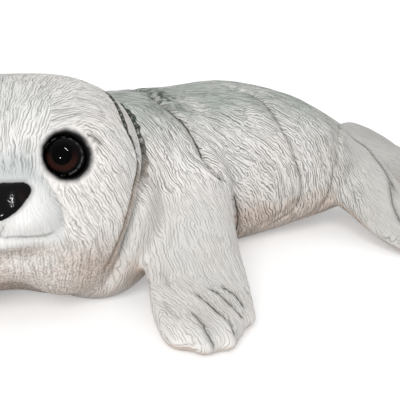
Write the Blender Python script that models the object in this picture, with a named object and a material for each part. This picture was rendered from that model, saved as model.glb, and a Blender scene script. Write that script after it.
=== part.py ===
"""Seal pup lying on its front, its head turned to its left: one resin casting and two set-in glass eyes.

Metres, +Z up. The nose end is towards -X, the tail towards +X, and the pup's left side faces -Y.
The casting is built as soft masses that are fused into one skin, then its features are carved in:
muzzle, nose, mouth, brows, toes and the fat folds. It is cut flat underneath, where it stands.
The sockets are cut last, so that the glass eyes fit them.
"""

import math

import bmesh
import bpy
import numpy as np
from mathutils import Matrix, Vector
from mathutils.bvhtree import BVHTree

MM = 0.001

# Trunk: where each station of the spine lies from the barrel's middle, and its width and back height.
NAPE_AT, NAPE_ASIDE = -73 * MM, -19 * MM
SHOULDER_AT, SHOULDER_ASIDE = -34 * MM, -5 * MM
LOIN_AT, LOIN_ASIDE = 28 * MM, -5 * MM
HIP_AT, HIP_ASIDE = 52 * MM, -12 * MM
TAIL_AT, TAIL_ASIDE = 72 * MM, -20 * MM
NAPE_WIDTH, NAPE_HEIGHT = 82 * MM, 72.5 * MM
SHOULDER_WIDTH, SHOULDER_HEIGHT = 86 * MM, 70.5 * MM
BARREL_WIDTH, BARREL_HEIGHT = 88 * MM, 70 * MM
LOIN_WIDTH, LOIN_HEIGHT = 78 * MM, 62.5 * MM
HIP_WIDTH, HIP_HEIGHT = 58 * MM, 48 * MM
TAIL_WIDTH, TAIL_HEIGHT = 40 * MM, 39.5 * MM
BELLY_SINK = 3 * MM
LOIN_LIFT, HIP_LIFT, TAIL_LIFT = 2.5 * MM, 8 * MM, 11 * MM
SECTION_MIDDLE, SECTION_FULLNESS = 0.44, 0.9

# The trunk's ends: a neck ahead of the nape, under the head, and two rows that round off the tail.
NECK_AHEAD, NECK_ASIDE = 30 * MM, 13 * MM
NECK_WIDTH, NECK_HEIGHT, NECK_LIFT = 66 * MM, 68 * MM, 2 * MM
STUB_BEYOND, STUB_ASIDE = 12 * MM, 4 * MM
STUB_WIDTH, STUB_HEIGHT, STUB_LIFT = 30 * MM, 34 * MM, 3 * MM
TIP_BEYOND, TIP_ASIDE = 19 * MM, 7 * MM
TIP_WIDTH, TIP_HEIGHT, TIP_LIFT = 10 * MM, 26 * MM, 8 * MM

# Limbs: how far the longest fore toe lies from the spine, and the far hind limb's end from the barrel's middle.
FORE_REACH = 128 * MM
HIND_REACH = 125 * MM
TOE_END_WIDTH, TOE_END_THICKNESS = 0.8, 0.7

# Breast and throat: the fat rolls under the head, which it rests on.
BREAST_AT, BREAST_ASIDE, BREAST_RISE = -92 * MM, -42 * MM, 27 * MM
BREAST_LENGTH, BREAST_WIDTH, BREAST_HEIGHT = 58 * MM, 66 * MM, 62 * MM
THROAT_AT, THROAT_ASIDE, THROAT_RISE = -104 * MM, -32 * MM, 24 * MM
THROAT_LENGTH, THROAT_WIDTH, THROAT_HEIGHT = 62 * MM, 64 * MM, 54 * MM

# Head: a squarish ball turned and tipped about its centre.
HEAD_WIDTH, HEAD_DEPTH, HEAD_HEIGHT = 100 * MM, 84 * MM, 85 * MM
HEAD_AT, HEAD_ASIDE, HEAD_RISE = -120 * MM, -35 * MM, 43.5 * MM
HEAD_TURN = 66.0
HEAD_TIP = 7.0
HEAD_SQUARENESS, HEAD_SEGMENTS = 2.3, 64

# How far out from the head's centre its features are laid, before they are drawn in to the skin.
FACE_REACH, NECK_REACH = 46 * MM, 51 * MM
FACE_LIMIT = 0.66 * HEAD_WIDTH

# Glass eyes: balls that stand a little proud of their lids, at angles from the head's centre.
EYE_DIAMETER = 16 * MM
EYE_APART, EYE_UP = 32.3, 19.5
EYE_OUT = 40.8 * MM
EYE_CLEARANCE = 0.3 * MM

# Skin: the grain that the masses are fused at, and the number of faces that the casting keeps.
VOXEL = 1.3 * MM
FACES_KEPT = 9300
SOCKET_SEGMENTS = 28


def smooth_through(rows, count):
    """count rows on a Catmull-Rom curve through the given rows of numbers."""
    rows = np.array(rows, float)
    padded = np.vstack([2 * rows[0] - rows[1], rows, 2 * rows[-1] - rows[-2]])
    found = []
    for t in np.linspace(0, len(rows) - 1, count):
        i = min(int(t), len(rows) - 2)
        u = t - i
        a, b, c, d = padded[i : i + 4]
        bend = 2 * a - 5 * b + 4 * c - d
        found.append(b + 0.5 * ((c - a) * u + bend * u**2 + (3 * b - a - 3 * c + d) * u**3))
    return np.array(found)


def loft(name, rings):
    """A closed mesh through rings of points that run one way round."""
    shape = bmesh.new()
    loops = [[shape.verts.new(point) for point in ring] for ring in rings]
    for low, high in zip(loops, loops[1:]):
        for i in range(len(low)):
            j = (i + 1) % len(low)
            shape.faces.new((low[i], low[j], high[j], high[i]))
    shape.faces.new(loops[0])
    shape.faces.new(loops[-1])
    bmesh.ops.recalc_face_normals(shape, faces=shape.faces)
    mesh = bpy.data.meshes.new(name)
    shape.to_mesh(mesh)
    shape.free()
    return mesh


def ball(name, place, segments=48, squareness=2.0):
    """A ball of radius 1/2 under the matrix place. Squareness over 2 fills out its corners."""
    shape = bmesh.new()
    bmesh.ops.create_uvsphere(shape, u_segments=segments, v_segments=segments // 2, radius=1)
    for vert in shape.verts:
        size = sum(abs(c) ** squareness for c in vert.co) ** (1 / squareness)
        vert.co = vert.co / size / 2
    bmesh.ops.transform(shape, matrix=place, verts=shape.verts)
    mesh = bpy.data.meshes.new(name)
    shape.to_mesh(mesh)
    shape.free()
    return mesh


# The trunk, from the nape to the tail.


def trunk_rows():
    """Along, aside, width, back height and belly height at each station, nape to tail."""
    return [
        (NAPE_AT - NECK_AHEAD, NAPE_ASIDE - NECK_ASIDE, NECK_WIDTH, NECK_HEIGHT, NECK_LIFT),
        (NAPE_AT, NAPE_ASIDE, NAPE_WIDTH, NAPE_HEIGHT, -BELLY_SINK),
        (SHOULDER_AT, SHOULDER_ASIDE, SHOULDER_WIDTH, SHOULDER_HEIGHT, -BELLY_SINK),
        (0, 0, BARREL_WIDTH, BARREL_HEIGHT, -BELLY_SINK),
        (LOIN_AT, LOIN_ASIDE, LOIN_WIDTH, LOIN_HEIGHT, LOIN_LIFT),
        (HIP_AT, HIP_ASIDE, HIP_WIDTH, HIP_HEIGHT, HIP_LIFT),
        (TAIL_AT, TAIL_ASIDE, TAIL_WIDTH, TAIL_HEIGHT, TAIL_LIFT),
        (TAIL_AT + STUB_BEYOND, TAIL_ASIDE - STUB_ASIDE, STUB_WIDTH, STUB_HEIGHT, TAIL_LIFT + STUB_LIFT),
        (TAIL_AT + TIP_BEYOND, TAIL_ASIDE - TIP_ASIDE, TIP_WIDTH, TIP_HEIGHT, TAIL_LIFT + TIP_LIFT),
    ]


def section_point(row, angle):
    """A point of the trunk's skin; angle is in degrees from the back, down the left side."""
    along, aside, width, back, belly = row
    middle = belly + SECTION_MIDDLE * (back - belly)
    across, rise = math.sin(math.radians(angle)), math.cos(math.radians(angle))
    across = math.copysign(abs(across) ** SECTION_FULLNESS, across)
    rise = math.copysign(abs(rise) ** SECTION_FULLNESS, rise)
    reach = back - middle if rise > 0 else middle - belly
    return Vector((along, aside - across * width / 2, middle + rise * reach))


def trunk():
    rows = smooth_through(trunk_rows(), 46)
    return loft("trunk", [[section_point(row, 9 * i) for i in range(40)] for row in rows])


def trunk_line(pairs):
    """Points over the trunk's skin at pairs of mm along the spine and degrees down the left side."""
    rows = smooth_through(trunk_rows(), 200)
    found = []
    for along, angle in pairs:
        row = min(rows, key=lambda r: abs(r[0] - along * MM))
        found.append(section_point(row, angle))
    return found


# The head and its features, at degrees left of the front and degrees up.


def head_place():
    """The head's own axes as columns, its right, its front and its up, with its centre."""
    turn, tip = math.radians(HEAD_TURN), math.radians(HEAD_TIP)
    front = Vector((-math.cos(turn) * math.cos(tip), -math.sin(turn) * math.cos(tip), math.sin(tip)))
    right = Vector((-math.sin(turn), math.cos(turn), 0))
    place = Matrix((right, front, right.cross(front))).transposed().to_4x4()
    place.translation = Vector((HEAD_AT, HEAD_ASIDE, HEAD_RISE))
    return place


def head_ray(azimuth, elevation):
    a, e = math.radians(azimuth), math.radians(elevation)
    return Vector((-math.sin(a) * math.cos(e), math.cos(a) * math.cos(e), math.sin(e)))


def head_line(pairs, side=1, reach=FACE_REACH):
    place = head_place()
    return [place @ (head_ray(side * azimuth, elevation) * reach) for azimuth, elevation in pairs]


def skull():
    size = Matrix.Diagonal((HEAD_WIDTH, HEAD_DEPTH, HEAD_HEIGHT, 1))
    return ball("skull", head_place() @ size, HEAD_SEGMENTS, HEAD_SQUARENESS)


def rolls():
    """The breast and the throat."""
    size = Matrix.Diagonal((BREAST_LENGTH, BREAST_WIDTH, BREAST_HEIGHT, 1))
    breast = Matrix.Translation((BREAST_AT, BREAST_ASIDE, BREAST_RISE)) @ size
    size = Matrix.Diagonal((THROAT_LENGTH, THROAT_WIDTH, THROAT_HEIGHT, 1))
    throat = Matrix.Translation((THROAT_AT, THROAT_ASIDE, THROAT_RISE)) @ size
    return [ball("breast", breast), ball("throat", throat)]


SWELLS = [
    # azimuth, elevation, spread across, spread up, height in mm; each is on both sides
    (0, -5, 19, 13, 8.5),  # muzzle
    (12, -7, 8, 6, 3.0),  # whisker pads
    (0, -18, 13, 3.5, 2.2),  # lower lip
    (0, -29, 16, 5, -1.6),  # hollow under the lip
    (0, -66, 13, 18, -8.0),  # hollow under the chin
    (45, -48, 18, 14, 3.5),  # jowls
    (32.3, 19.5, 10, 10, -3.0),  # eye hollows
    (42, -12, 16, 15, 1.8),  # cheeks
    (0, 36, 10, 18, -0.8),  # dip between the brows
    (26, 42, 14, 12, 1.2),  # brows
    (105, 45, 30, 25, 2.6),  # back of the crown
]
NOSE_HALF_WIDTH, NOSE_TOP, NOSE_TIP, NOSE_HEIGHT = 12.5, 8.5, -5.5, 2.8 * MM
NOSE_SHOULDER, NOSE_EDGE = 0.25, 0.7


def nose_share(azimuth, elevation):
    """1 on the nose leather, a triangle that stands on its tip, and 0 off it."""
    rise = np.clip((elevation - NOSE_TIP) / (NOSE_TOP - NOSE_TIP), 0, 1)
    half = NOSE_HALF_WIDTH * np.sqrt(rise) * (1 - NOSE_SHOULDER * rise**6)
    inside = np.minimum(half - np.abs(azimuth), NOSE_TOP - elevation)
    return 1 / (1 + np.exp(-inside / NOSE_EDGE))


def swell_face(points):
    """Moves the head's points along their rays from its centre, by the features in SWELLS."""
    place = head_place()
    local = (points - np.array(place.translation)) @ np.array(place.to_3x3())
    reach = np.linalg.norm(local, axis=1)
    rays = local / reach[:, None]
    azimuth = np.degrees(np.arctan2(-rays[:, 0], rays[:, 1]))
    elevation = np.degrees(np.arcsin(rays[:, 2]))
    rise = NOSE_HEIGHT * nose_share(azimuth, elevation)
    for at, up, across, high, height in SWELLS:
        for side in (1, -1) if at else (1,):
            middle = head_ray(side * at, up)
            leftward = Vector((-middle.y, middle.x, 0)).normalized() * -1
            cosine = np.clip(rays @ middle, -1, 1)
            spread = np.degrees(np.arccos(cosine)) / np.sqrt(np.maximum(1 - cosine**2, 1e-9))
            bump = (spread * (rays @ leftward) / across) ** 2
            bump += (spread * (rays @ leftward.cross(middle)) / high) ** 2
            rise += height * MM * np.exp(-bump)
    rise[reach > FACE_LIMIT] = 0
    return points + (points - np.array(place.translation)) / reach[:, None] * rise[:, None]


# The limbs. Rows are x, y, z, width and thickness in mm.


def stations(path, face, end_face, count):
    """The limb's rows, each with the way across it and the way its broad side looks."""
    rows = smooth_through(path, count)
    for k, row in enumerate(rows):
        ahead = Vector(rows[min(k + 1, count - 1)][:3] - rows[max(k - 1, 0)][:3]).normalized()
        across = ahead.cross(Vector(face).lerp(Vector(end_face), k / (count - 1))).normalized()
        yield row, across, across.cross(ahead)


def paddle(name, path, face, end_face, count=26, round_end=0.14):
    """A flattened limb along path. Its broad side looks the way of face, and of end_face at its tip."""
    rings = []
    for k, (row, across, rise) in enumerate(stations(path, face, end_face, count)):
        left = max((k / (count - 1) - 1 + round_end) / round_end, 0)
        end = math.sqrt(max(1 - left**2, 0.02))
        ring = []
        for i in range(20):
            angle = 2 * math.pi * i / 20
            wide = across * math.cos(angle) * row[3] / 2
            thick = rise * math.sin(angle) * row[4] / 2
            ring.append(Vector(row[:3]) + (wide + thick) * end)
        rings.append(ring)
    return loft(name, rings)


def paddle_line(path, face, end_face, offset):
    """Points over the outer half of a limb's broad side, at offset of its width from its middle."""
    found = []
    for row, across, rise in list(stations(scaled(path), face, end_face, 24))[13:]:
        found.append(Vector(row[:3]) + across * offset * row[3] + rise * row[4] / 2)
    return found


def scaled(rows):
    return [tuple(value * MM for value in row) for row in rows]


FORE_LIMB = [
    (-40, -18, 44, 48, 36),
    (-51, -42, 37, 44, 29),
    (-60.5, -64, 23, 41.5, 20),
    (-68, -86, 11, 41, 13),
    (-75, -104, 6, 39, 10),
    (-78, -116, 4, 36, 8),
]
FORE_TOES = [
    ((-83, -92, 7), (-92, -119, 3), 15, 11),
    ((-78, -96, 7), (-87, -127, 3), 14, 10),
    ((-72, -97, 7), (-79, -128, 3), 12, 10),
    ((-67, -96, 7), (-72, -122, 3), 11, 9),
    ((-62, -92, 7), (-65, -113, 3), 10, 9),
]
NEAR_HIND_LIMB = [
    (47, -18, 28, 36, 26),
    (48, -34, 24.5, 34, 20),
    (48, -48, 19, 32, 15),
    (49, -61, 13.2, 33, 11),
    (53, -76, 7.5, 36, 9),
    (60, -90, 4.5, 34, 8),
]
FAR_HIND_LIMB = [
    (60, -16, 31, 36, 24),
    (79, -14, 27, 36, 17),
    (96, -10, 22.5, 36, 12),
    (111, -4, 15, 37, 9),
    (125, 4, 6, 34, 8),
]


def drawn_out(value, root, end, reach):
    """value moved in step, where the stretch from root to end is drawn out to end at reach."""
    return root + (value - root) * (reach - root) / (end - root)


def far_hind_path():
    root, end = FAR_HIND_LIMB[0][0], FAR_HIND_LIMB[-1][0]
    return [(drawn_out(row[0], root, end, HIND_REACH / MM), *row[1:]) for row in FAR_HIND_LIMB]


def fore_side(rows, side):
    """Rows of the left fore limb, drawn out to FORE_REACH, for the left side or mirrored for the right."""
    end = max(-tip[1] for root, tip, width, thick in FORE_TOES)
    return [(x, side * drawn_out(y, 0, end, FORE_REACH / MM), z, w, t) for x, y, z, w, t in rows]


# Each hind limb's path, with the way its broad side looks at its root and at its tip.
HIND_LIMBS = [
    (NEAR_HIND_LIMB, (-0.5, -0.5, 0.7), (0, -0.3, 1)),
    (far_hind_path(), (-0.2, -0.8, 0.6), (0.2, -0.2, 1)),
]


def limbs():
    meshes = []
    for side in (1, -1):
        face = (0, -0.4 * side, 1)
        meshes.append(paddle("fore_limb", scaled(fore_side(FORE_LIMB, side)), face, face))
        for root, tip, width, thick in FORE_TOES:
            middle = [(a + b) / 2 for a, b in zip(root, tip)]
            narrow, thin = width * TOE_END_WIDTH, thick * TOE_END_THICKNESS
            rows = [(*root, width, thick), (*middle, width, thick), (*tip, narrow, thin)]
            meshes.append(paddle("toe", scaled(fore_side(rows, side)), face, (0, 0, 1), 14, 0.3))
    for path, face, end_face in HIND_LIMBS:
        meshes.append(paddle("hind_limb", scaled(path), face, end_face))
    return meshes


# The skin round the masses, and the grooves carved in it.


def evaluated(holder):
    """The holder's mesh with its modifiers, as a mesh of its own. The holder goes."""
    graph = bpy.context.evaluated_depsgraph_get()
    mesh = bpy.data.meshes.new_from_object(holder.evaluated_get(graph))
    bpy.data.objects.remove(holder)
    return mesh


def held(mesh):
    holder = bpy.data.objects.new(mesh.name, mesh)
    bpy.context.scene.collection.objects.link(holder)
    return holder


def fused(meshes):
    """One skin round all the masses."""
    shape = bmesh.new()
    for mesh in meshes:
        shape.from_mesh(mesh)
    joined = bpy.data.meshes.new("masses")
    shape.to_mesh(joined)
    shape.free()
    holder = held(joined)
    remesh = holder.modifiers.new("fuse", "REMESH")
    remesh.mode = "VOXEL"
    remesh.voxel_size = VOXEL
    soften = holder.modifiers.new("soften", "SMOOTH")
    soften.factor, soften.iterations = 0.5, 9
    return evaluated(holder)


def points_of(mesh):
    found = np.empty(len(mesh.vertices) * 3)
    mesh.vertices.foreach_get("co", found)
    return found.reshape(-1, 3)


def normals_of(mesh):
    found = np.empty(len(mesh.vertices) * 3, np.float32)
    mesh.vertex_normals.foreach_get("vector", found)
    return found.reshape(-1, 3).astype(float)


def distance_to_line(points, line):
    """Each point's distance to a broken line."""
    least = np.full(len(points), 1.0)
    for a, b in zip(line, line[1:]):
        run = b - a
        share = np.clip((points - a) @ run / max(run @ run, 1e-12), 0, 1)
        least = np.minimum(least, np.linalg.norm(points - a - share[:, None] * run, axis=1))
    return least


MOUTH = [(0, -12.3), (6, -13), (12, -14.6), (18, -15.4), (24, -15)]
PAD_EDGE = [(18, 12), (21, 8), (24.7, 0), (26.5, -6.7), (27, -12)]
BROW_TICK = [(44, 28), (48, 25), (51, 21)]
NECK = [(64, -43), (62, -27), (65, -14), (73, -1), (87, 10), (97, 24), (112, 36), (130, 46)]
NECK += [(150, 43), (168, 31), (182, 15), (190, -2), (193, -18), (191, -34), (185, -48)]
SHOULDER_FOLD = [(-52, 2), (-53, 21), (-47, 41), (-44, 58), (-43, 74), (-36, 92), (-30, 106), (-24, 124)]
FLANK_FOLD = [(-8, 12), (1, 33), (4, 54), (8, 75), (11, 97), (7, 112), (-6, 124)]
HIP_FOLD = [(41, 34), (33, 62), (31, 84), (29, 104), (26, 120)]


def grooves():
    """Lines over the skin, each with its depth and half width in mm."""
    found = [(head_line([(0, -3), (0, -12)]), 0.9, 0.9), (head_line(NECK, 1, NECK_REACH), 3.0, 2.2)]
    for side in (1, -1):
        found.append((head_line(MOUTH, side), 1.3, 1.0))
        found.append((head_line(PAD_EDGE, side), 1.0, 1.8))
        found.append((head_line(BROW_TICK, side), 0.7, 1.0))
        for fold, depth, width in ((SHOULDER_FOLD, 2.4, 1.8), (FLANK_FOLD, 1.5, 1.8), (HIP_FOLD, 1.6, 2.0)):
            line = trunk_line([(along, side * angle) for along, angle in fold])
            found.append((line, depth, width))
    for path, face, end_face in HIND_LIMBS:
        for offset in (-0.28, -0.08, 0.12, 0.32):
            found.append((paddle_line(path, face, end_face, offset), 0.9, 1.2))
    return found


def carved(mesh):
    """The skin with its face swelled and its grooves sunk."""
    points = swell_face(points_of(mesh))
    mesh.vertices.foreach_set("co", points.ravel())
    mesh.update()
    skin = held(mesh)
    tree = BVHTree.FromObject(skin, bpy.context.evaluated_depsgraph_get())
    bpy.data.objects.remove(skin)
    normals = normals_of(mesh)
    sink = np.zeros(len(points))
    for line, depth, width in grooves():
        close = smooth_through([tree.find_nearest(point)[0] for point in line], 12 * len(line))
        close = np.array([tree.find_nearest(Vector(point))[0] for point in close])
        away = distance_to_line(points, close) / (width * MM)
        lips = 0.1 * np.exp(-((away - 2.4) ** 2))
        sink = sink + depth * MM * (np.exp(-(away**2)) - lips)
    mesh.vertices.foreach_set("co", (points - normals * sink[:, None]).ravel())
    mesh.update()
    return mesh


def thinned(mesh):
    """The skin at fewer faces, which stay close together where it bends."""
    holder = held(mesh)
    triangles = sum(len(face.vertices) - 2 for face in mesh.polygons)
    thin = holder.modifiers.new("thin", "DECIMATE")
    thin.ratio = FACES_KEPT / triangles
    thin.use_collapse_triangulate = True
    return evaluated(holder)


def cut_flat(mesh):
    """The mesh with what is below the floor cut off and closed with flat faces."""
    shape = bmesh.new()
    shape.from_mesh(mesh)
    whole = shape.verts[:] + shape.edges[:] + shape.faces[:]
    bmesh.ops.bisect_plane(
        shape, geom=whole, plane_co=(0, 0, 0), plane_no=(0, 0, 1), clear_inner=True, dist=1e-6
    )
    rim = [edge for edge in shape.edges if edge.is_boundary]
    bmesh.ops.holes_fill(shape, edges=rim)
    bmesh.ops.triangulate(shape, faces=[face for face in shape.faces if len(face.verts) > 3])
    shape.to_mesh(mesh)
    shape.free()
    return mesh


def eye_ball(name, side, diameter):
    place = head_place() @ Matrix.Translation(head_ray(side * EYE_APART, EYE_UP) * EYE_OUT)
    return ball(name, place @ Matrix.Diagonal((diameter, diameter, diameter, 1)), SOCKET_SEGMENTS)


def finished(piece, colour, roughness):
    """Gives the piece its material and smooth shading."""
    material = bpy.data.materials.new(piece.name)
    material.use_nodes = True
    shader = material.node_tree.nodes["Principled BSDF"]
    shader.inputs["Base Color"].default_value = (*colour, 1)
    shader.inputs["Roughness"].default_value = roughness
    shader.inputs["Metallic"].default_value = 0
    piece.data.materials.clear()
    piece.data.materials.append(material)
    piece.data.polygons.foreach_set("use_smooth", [True] * len(piece.data.polygons))


def main():
    for old in list(bpy.data.objects):
        bpy.data.objects.remove(old)
    skin = cut_flat(thinned(carved(fused([trunk(), skull()] + rolls() + limbs()))))
    points = points_of(skin)
    middle = (points.min(axis=0) + points.max(axis=0)) / 2
    # the origin goes under the middle of the whole, on the floor
    to_origin = Matrix.Translation((-middle[0], -middle[1], 0))
    skin.transform(to_origin)
    body = held(skin)
    body.name = "body"
    finished(body, (0.78, 0.76, 0.72), 0.7)
    for name, side in (("left_eye", 1), ("right_eye", -1)):
        eye = held(eye_ball(name, side, EYE_DIAMETER))
        cutter = held(eye_ball(name + "_socket", side, EYE_DIAMETER + 2 * EYE_CLEARANCE))
        for piece in (eye, cutter):
            piece.data.transform(to_origin)
        finished(eye, (0.012, 0.008, 0.006), 0.06)
        cutter.hide_render = True
        cutter.display_type = "WIRE"
        socket = body.modifiers.new(name + "_socket", "BOOLEAN")
        socket.operation = "DIFFERENCE"
        socket.solver = "EXACT"
        socket.object = cutter


main()
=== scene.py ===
"""Looks of a seal pup figurine: a resin casting with carved and painted fur, and two glass eyes.

Metres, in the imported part's frame: +X towards the tail, -Y towards the pup's left side, +Z up.
"""

import math

import bpy
import numpy as np
from mathutils import Matrix, Vector
from mathutils.bvhtree import BVHTree
from mathutils.kdtree import KDTree


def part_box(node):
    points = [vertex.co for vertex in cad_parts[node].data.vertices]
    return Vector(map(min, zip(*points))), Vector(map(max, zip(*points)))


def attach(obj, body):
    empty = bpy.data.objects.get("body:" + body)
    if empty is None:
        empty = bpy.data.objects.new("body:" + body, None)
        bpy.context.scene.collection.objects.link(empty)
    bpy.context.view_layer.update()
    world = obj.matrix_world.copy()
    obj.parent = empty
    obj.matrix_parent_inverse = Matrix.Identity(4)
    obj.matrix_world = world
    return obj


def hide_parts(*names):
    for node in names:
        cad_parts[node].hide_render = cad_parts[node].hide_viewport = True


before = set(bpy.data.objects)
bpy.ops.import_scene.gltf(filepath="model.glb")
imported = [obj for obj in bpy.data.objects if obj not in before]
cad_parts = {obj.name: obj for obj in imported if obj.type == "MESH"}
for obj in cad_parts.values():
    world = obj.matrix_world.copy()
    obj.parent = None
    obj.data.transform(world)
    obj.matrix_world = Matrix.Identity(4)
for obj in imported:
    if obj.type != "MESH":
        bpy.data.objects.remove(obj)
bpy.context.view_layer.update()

# Casting, its skin: the whole pup but its eyes is one piece of stone-filled resin, poured in a soft mould.
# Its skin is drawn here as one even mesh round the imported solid, soft where the solid has corners.
# It is cut flat underneath, where the pup stands on its throat, its belly and its flippers.
MM = 0.001
SKIN_GRAIN = 1.12 * MM
FLAT_HEIGHT, FLAT_FADE = 0.25 * MM, 4 * MM
COAT_SOFTNESS, COAT_ROUNDS = 0.5, 12

bpy.ops.object.select_all(action="DESELECT")
casting = bpy.data.objects.new("casting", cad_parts["body"].data.copy())
bpy.context.scene.collection.objects.link(casting)
casting.select_set(True)
bpy.context.view_layer.objects.active = casting
casting.data.materials.clear()
bpy.ops.object.mode_set(mode="EDIT")
bpy.ops.mesh.select_all(action="SELECT")
bpy.ops.mesh.remove_doubles(threshold=0.01 * MM)
bpy.ops.object.mode_set(mode="OBJECT")
skin = casting.modifiers.new("skin", "REMESH")
skin.mode = "VOXEL"
skin.voxel_size = SKIN_GRAIN
soft = casting.modifiers.new("soft", "SMOOTH")
soft.factor = COAT_SOFTNESS
soft.iterations = COAT_ROUNDS
for name in ("skin", "soft"):
    bpy.ops.object.modifier_apply(modifier=name)
bpy.ops.object.mode_set(mode="EDIT")
bpy.ops.mesh.select_all(action="SELECT")
bpy.ops.mesh.bisect(plane_co=(0, 0, FLAT_HEIGHT), plane_no=(0, 0, 1), use_fill=True, clear_inner=True)
bpy.ops.object.mode_set(mode="OBJECT")


def points_of(mesh):
    found = np.empty(len(mesh.vertices) * 3, np.float32)
    mesh.vertices.foreach_get("co", found)
    return found.reshape(-1, 3).astype(float)


def normals_of(mesh):
    found = np.empty(len(mesh.vertices) * 3, np.float32)
    mesh.vertex_normals.foreach_get("vector", found)
    return found.reshape(-1, 3).astype(float)


def put_points(mesh, points):
    mesh.vertices.foreach_set("co", points.astype(np.float32).ravel())
    mesh.update()


points = points_of(casting.data)
points[:, 2] -= FLAT_HEIGHT * np.exp(-points[:, 2] / FLAT_FADE)
put_points(casting.data, points)

# Casting, where its features lie: the carver sets the face out from the two eye sockets.
# Places on the head are degrees to the pup's left of its nose and degrees up, seen from the head's middle.
# Places on the trunk are mm along +X and degrees down its left side, seen from the spine.
EYE_APART, EYE_UP, EYE_OUT, HEAD_TIP = 32.3, 19.5, 40.8 * MM, 7.0
SPINE = [(-73, -26, 30), (-51, -19, 30), (-12, -5, 29), (22, 0, 29), (50, -5, 29), (74, -12, 26)]
SPINE += [(94, -20, 24)]
HEAD_REACH, NECK_REACH, ABOVE_ALL = 46 * MM, 51 * MM, 90


def middle_of(node):
    low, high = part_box(node)
    return (low + high) / 2


eye_middles = [middle_of("left_eye"), middle_of("right_eye")]
tip, apart, up_angle = math.radians(HEAD_TIP), math.radians(EYE_APART), math.radians(EYE_UP)
head_right = (eye_middles[1] - eye_middles[0]).normalized()
head_front = Vector((0, 0, 1)).cross(head_right) * math.cos(tip) + Vector((0, 0, math.sin(tip)))
head_up = head_right.cross(head_front)
eye_ahead = EYE_OUT * math.cos(apart) * math.cos(up_angle)
head_middle = (eye_middles[0] + eye_middles[1]) / 2 - head_front * eye_ahead
head_middle -= head_up * EYE_OUT * math.sin(up_angle)
head_axes = Matrix((head_right, head_front, head_up)).transposed()


def head_ray(azimuth, elevation):
    """The way from the head's middle to a place on it, on the head's own axes."""
    a, e = math.radians(azimuth), math.radians(elevation)
    return Vector((-math.sin(a) * math.cos(e), math.cos(a) * math.cos(e), math.sin(e)))


def spine_at(along):
    """The spine's place at along, a number or an array in mm."""
    x, y, z = np.array(SPINE, float).T
    return np.interp(along, x, y), np.interp(along, x, z)


skin_shape = BVHTree.FromObject(casting, bpy.context.evaluated_depsgraph_get())


def curved(line, fine=8):
    """A line's points, with fine times as many on a smooth curve through them."""
    rows = np.array([tuple(point) for point in line])
    padded = np.vstack([2 * rows[0] - rows[1], rows, 2 * rows[-1] - rows[-2]])
    found = []
    for t in np.linspace(0, len(rows) - 1, fine * len(rows)):
        i = min(int(t), len(rows) - 2)
        u = t - i
        a, b, c, d = padded[i : i + 4]
        bend = 2 * a - 5 * b + 4 * c - d
        found.append(b + 0.5 * ((c - a) * u + bend * u**2 + (3 * b - a - 3 * c + d) * u**3))
    return np.array([tuple(skin_shape.find_nearest(Vector(point))[0]) for point in found])


def head_line(pairs, side=1, reach=HEAD_REACH):
    """A line over the head, through degrees left of the nose and up. A side of -1 gives it on the right."""
    places = [head_middle + head_axes @ (head_ray(side * a, e) * reach) for a, e in pairs]
    return curved([skin_shape.find_nearest(place)[0] for place in places])


def trunk_line(pairs, side=1):
    """A line over the trunk, through mm along it and degrees down its left side, or its right one."""
    found = []
    for along, angle in pairs:
        aside, rise = spine_at(along)
        turn = math.radians(side * angle)
        ray = Vector((0, -math.sin(turn), math.cos(turn)))
        found.append(skin_shape.ray_cast(Vector((along, aside, rise)) * MM, ray)[0])
    return curved(found)


def limb_line(pairs, side=1):
    """A line over a limb's top, through x and y in mm. A point past the limb's edge moves to its rim."""
    found = []
    for x, y in pairs:
        place = Vector((x, y * side, ABOVE_ALL)) * MM
        rim = skin_shape.find_nearest(Vector((x, y * side, 2)) * MM)[0]
        found.append(skin_shape.ray_cast(place, Vector((0, 0, -1)))[0] or rim)
    return curved(found)


# Casting, its folds: the fat folds, the neck creases, the toes and the mouth are one with the casting.
# They were cut deep with a gouge in the pattern, and each is lined with painted shade.
LIP_CLEFT = [(0, -4), (0, -12)]
MOUTH = [(0, -12.3), (6, -13), (12, -14.6), (18, -15.4), (23, -14.6)]
PAD_EDGE = [(18, 12), (21, 8), (24.7, 0), (26.5, -6.7), (27, -13)]
BROW_TICK = [(44, 28), (48, 25), (51, 21)]
NECK = [(64, -43), (62, -27), (65, -14), (73, -1), (87, 10), (97, 24), (112, 36), (130, 46)]
NECK += [(150, 43), (168, 31), (182, 15), (190, -2), (193, -18), (191, -34), (185, -48)]
CREASE = [(128, 47), (106, 47), (88, 43), (79, 36), (73, 29), (71.5, 23.5), (73, 17.5), (72.5, 12), (70, 7)]
CREASE += [(65, 1), (61.5, -6), (58.5, -13), (57, -21), (56, -31), (54, -40)]
SHOULDER_FOLD = [(-30, 2), (-31, 21), (-25, 41), (-22, 58), (-21, 74), (-14, 92), (-8, 106), (-2, 124)]
ARMPIT = [(-6, 88), (-3.5, 98), (-1, 109), (1.5, 123)]
FLANK_FOLD = [(14, 12), (23, 33), (26, 54), (30, 75), (33, 97), (29, 112), (16, 124)]
HIP_FOLD = [(68, 30), (58, 58), (52, 84), (49, 104), (46, 120)]
TOES = [
    [(-55, -97), (-53, -105), (-53, -112), (-52, -119), (-54, -125)],
    [(-49, -97), (-46, -101), (-45, -107), (-44.5, -112), (-44, -115)],
    [(-43, -97), (-41, -100), (-39.5, -104), (-40, -110)],
    [(-61.5, -107), (-61.5, -114), (-62, -118), (-63, -123), (-62.5, -126)],
]
STRAY_CUTS = [[(-60.5, -83), (-61, -92)], [(-67, -96), (-68, -104), (-67, -111)]]
HIND_GROOVES = [
    [(63.5, -26.5), (66, -31), (69.5, -33), (77.5, -36.5), (79, -45), (77, -53), (76, -60)],
    [(76, -52), (70, -63.5), (68, -69), (66, -78)],
]
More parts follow.
